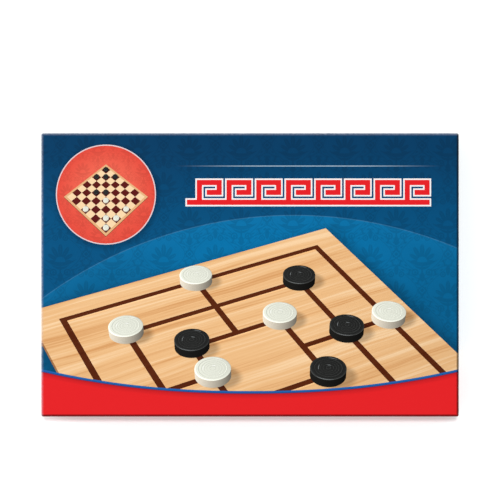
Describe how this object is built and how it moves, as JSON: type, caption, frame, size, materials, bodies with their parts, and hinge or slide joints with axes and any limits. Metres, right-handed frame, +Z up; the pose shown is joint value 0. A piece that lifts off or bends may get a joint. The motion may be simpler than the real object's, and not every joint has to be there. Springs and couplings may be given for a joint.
{
  "type": "nine mens morris box",
  "caption": "Flat lift-off-lid cardboard game case with a folding morris and draughts board, turned stones stacked in a formed insert, and folded rules.",
  "frame": {"origin": "middle of the case's base, on the surface it lies on", "axes": "+X along the long side, to the right as the cover is read; +Y towards the cover's top edge; +Z up through the lid"},
  "size_m": [0.38, 0.258, 0.04],
  "materials": {
    "lid_print": "varnished offset print, blue with a red band",
    "tray_print": "varnished offset print, plain blue",
    "greyboard": "bare greyboard",
    "insert_card": "uncoated white card",
    "formed_sheet": "thermoformed sheet, satin",
    "board_print": "varnished wood-grain print",
    "rules_paper": "uncoated paper",
    "white_lacquer": "white lacquer",
    "black_lacquer": "black lacquer"
  },
  "bodies": {
    "tray": {"tray_wrap": "tray_print", "tray_base_sheet": "tray_print", "tray_board_floor": "greyboard", "tray_board_front": "greyboard", "tray_board_back": "greyboard", "tray_board_left": "greyboard", "tray_board_right": "greyboard", "stone_tray": "formed_sheet", "card_platform": "insert_card"},
    "lid": {"lid_wrap": "lid_print", "lid_board_top": "greyboard", "lid_board_front": "greyboard", "lid_board_back": "greyboard", "lid_board_left": "greyboard", "lid_board_right": "greyboard"},
    "board_lower": {"board_core_lower": "greyboard", "morris_sheet_lower": "board_print", "draughts_wrap_lower": "board_print"},
    "board_upper": {"board_core_upper": "greyboard", "morris_sheet_upper": "board_print", "draughts_wrap_upper": "board_print"},
    "rules": {"rules_leaflet": "rules_paper"},
    "white_stone_01": {"white_stone_01": "white_lacquer"},
    "white_stone_02": {"white_stone_02": "white_lacquer"},
    "white_stone_03": {"white_stone_03": "white_lacquer"},
    "white_stone_04": {"white_stone_04": "white_lacquer"},
    "white_stone_05": {"white_stone_05": "white_lacquer"},
    "white_stone_06": {"white_stone_06": "white_lacquer"},
    "white_stone_07": {"white_stone_07": "white_lacquer"},
    "white_stone_08": {"white_stone_08": "white_lacquer"},
    "white_stone_09": {"white_stone_09": "white_lacquer"},
    "white_stone_10": {"white_stone_10": "white_lacquer"},
    "white_stone_11": {"white_stone_11": "white_lacquer"},
    "white_stone_12": {"white_stone_12": "white_lacquer"},
    "black_stone_01": {"black_stone_01": "black_lacquer"},
    "black_stone_02": {"black_stone_02": "black_lacquer"},
    "black_stone_03": {"black_stone_03": "black_lacquer"},
    "black_stone_04": {"black_stone_04": "black_lacquer"},
    "black_stone_05": {"black_stone_05": "black_lacquer"},
    "black_stone_06": {"black_stone_06": "black_lacquer"},
    "black_stone_07": {"black_stone_07": "black_lacquer"},
    "black_stone_08": {"black_stone_08": "black_lacquer"},
    "black_stone_09": {"black_stone_09": "black_lacquer"},
    "black_stone_10": {"black_stone_10": "black_lacquer"},
    "black_stone_11": {"black_stone_11": "black_lacquer"},
    "black_stone_12": {"black_stone_12": "black_lacquer"}
  },
  "joints": [
    {"name": "lid_lift", "type": "slide", "parent": "tray", "child": "lid", "axis": [0, 0, 1], "range_m": [0, 0.6]},
    {"name": "board_lift", "type": "slide", "parent": "tray", "child": "board_lower", "axis": [0, 0, 1], "range_m": [0, 0.06]},
    {"name": "board_unfold", "type": "hinge", "parent": "board_lower", "child": "board_upper", "pos_m": [0, 0.118, 0.02835], "axis": [-1, 0, 0], "range_deg": [0, 180]},
    {"name": "rules_lift", "type": "slide", "parent": "tray", "child": "rules", "axis": [0, 0, 1], "range_m": [0, 0.03]},
    {"name": "white_stone_01_lift", "type": "slide", "parent": "tray", "child": "white_stone_01", "axis": [0, 0, 1], "range_m": [0, 0.03]},
    {"name": "white_stone_02_lift", "type": "slide", "parent": "tray", "child": "white_stone_02", "axis": [0, 0, 1], "range_m": [0, 0.06]},
    {"name": "white_stone_03_lift", "type": "slide", "parent": "tray", "child": "white_stone_03", "axis": [0, 0, 1], "range_m": [0, 0.09]},
    {"name": "white_stone_04_lift", "type": "slide", "parent": "tray", "child": "white_stone_04", "axis": [0, 0, 1], "range_m": [0, 0.03]},
    {"name": "white_stone_05_lift", "type": "slide", "parent": "tray", "child": "white_stone_05", "axis": [0, 0, 1], "range_m": [0, 0.06]},
    {"name": "white_stone_06_lift", "type": "slide", "parent": "tray", "child": "white_stone_06", "axis": [0, 0, 1], "range_m": [0, 0.09]},
    {"name": "white_stone_07_lift", "type": "slide", "parent": "tray", "child": "white_stone_07", "axis": [0, 0, 1], "range_m": [0, 0.03]},
    {"name": "white_stone_08_lift", "type": "slide", "parent": "tray", "child": "white_stone_08", "axis": [0, 0, 1], "range_m": [0, 0.06]},
    {"name": "white_stone_09_lift", "type": "slide", "parent": "tray", "child": "white_stone_09", "axis": [0, 0, 1], "range_m": [0, 0.09]},
    {"name": "white_stone_10_lift", "type": "slide", "parent": "tray", "child": "white_stone_10", "axis": [0, 0, 1], "range_m": [0, 0.03]},
    {"name": "white_stone_11_lift", "type": "slide", "parent": "tray", "child": "white_stone_11", "axis": [0, 0, 1], "range_m": [0, 0.06]},
    {"name": "white_stone_12_lift", "type": "slide", "parent": "tray", "child": "white_stone_12", "axis": [0, 0, 1], "range_m": [0, 0.09]},
    {"name": "black_stone_01_lift", "type": "slide", "parent": "tray", "child": "black_stone_01", "axis": [0, 0, 1], "range_m": [0, 0.03]},
    {"name": "black_stone_02_lift", "type": "slide", "parent": "tray", "child": "black_stone_02", "axis": [0, 0, 1], "range_m": [0, 0.06]},
    {"name": "black_stone_03_lift", "type": "slide", "parent": "tray", "child": "black_stone_03", "axis": [0, 0, 1], "range_m": [0, 0.09]},
    {"name": "black_stone_04_lift", "type": "slide", "parent": "tray", "child": "black_stone_04", "axis": [0, 0, 1], "range_m": [0, 0.03]},
    {"name": "black_stone_05_lift", "type": "slide", "parent": "tray", "child": "black_stone_05", "axis": [0, 0, 1], "range_m": [0, 0.06]},
    {"name": "black_stone_06_lift", "type": "slide", "parent": "tray", "child": "black_stone_06", "axis": [0, 0, 1], "range_m": [0, 0.09]},
    {"name": "black_stone_07_lift", "type": "slide", "parent": "tray", "child": "black_stone_07", "axis": [0, 0, 1], "range_m": [0, 0.03]},
    {"name": "black_stone_08_lift", "type": "slide", "parent": "tray", "child": "black_stone_08", "axis": [0, 0, 1], "range_m": [0, 0.06]},
    {"name": "black_stone_09_lift", "type": "slide", "parent": "tray", "child": "black_stone_09", "axis": [0, 0, 1], "range_m": [0, 0.09]},
    {"name": "black_stone_10_lift", "type": "slide", "parent": "tray", "child": "black_stone_10", "axis": [0, 0, 1], "range_m": [0, 0.03]},
    {"name": "black_stone_11_lift", "type": "slide", "parent": "tray", "child": "black_stone_11", "axis": [0, 0, 1], "range_m": [0, 0.06]},
    {"name": "black_stone_12_lift", "type": "slide", "parent": "tray", "child": "black_stone_12", "axis": [0, 0, 1], "range_m": [0, 0.09]}
  ],
  "couplings": [
    {"joint": "board_lift", "follows": "lid_lift", "ratio": 0.1},
    {"joint": "board_unfold", "follows": "lid_lift", "rad_per_m": 5.236},
    {"joint": "rules_lift", "follows": "lid_lift", "ratio": 0.05},
    {"joint": "white_stone_01_lift", "follows": "lid_lift", "ratio": 0.05},
    {"joint": "white_stone_02_lift", "follows": "lid_lift", "ratio": 0.1},
    {"joint": "white_stone_03_lift", "follows": "lid_lift", "ratio": 0.15},
    {"joint": "white_stone_04_lift", "follows": "lid_lift", "ratio": 0.05},
    {"joint": "white_stone_05_lift", "follows": "lid_lift", "ratio": 0.1},
    {"joint": "white_stone_06_lift", "follows": "lid_lift", "ratio": 0.15},
    {"joint": "white_stone_07_lift", "follows": "lid_lift", "ratio": 0.05},
    {"joint": "white_stone_08_lift", "follows": "lid_lift", "ratio": 0.1},
    {"joint": "white_stone_09_lift", "follows": "lid_lift", "ratio": 0.15},
    {"joint": "white_stone_10_lift", "follows": "lid_lift", "ratio": 0.05},
    {"joint": "white_stone_11_lift", "follows": "lid_lift", "ratio": 0.1},
    {"joint": "white_stone_12_lift", "follows": "lid_lift", "ratio": 0.15},
    {"joint": "black_stone_01_lift", "follows": "lid_lift", "ratio": 0.05},
    {"joint": "black_stone_02_lift", "follows": "lid_lift", "ratio": 0.1},
    {"joint": "black_stone_03_lift", "follows": "lid_lift", "ratio": 0.15},
    {"joint": "black_stone_04_lift", "follows": "lid_lift", "ratio": 0.05},
    {"joint": "black_stone_05_lift", "follows": "lid_lift", "ratio": 0.1},
    {"joint": "black_stone_06_lift", "follows": "lid_lift", "ratio": 0.15},
    {"joint": "black_stone_07_lift", "follows": "lid_lift", "ratio": 0.05},
    {"joint": "black_stone_08_lift", "follows": "lid_lift", "ratio": 0.1},
    {"joint": "black_stone_09_lift", "follows": "lid_lift", "ratio": 0.15},
    {"joint": "black_stone_10_lift", "follows": "lid_lift", "ratio": 0.05},
    {"joint": "black_stone_11_lift", "follows": "lid_lift", "ratio": 0.1},
    {"joint": "black_stone_12_lift", "follows": "lid_lift", "ratio": 0.15}
  ]
}
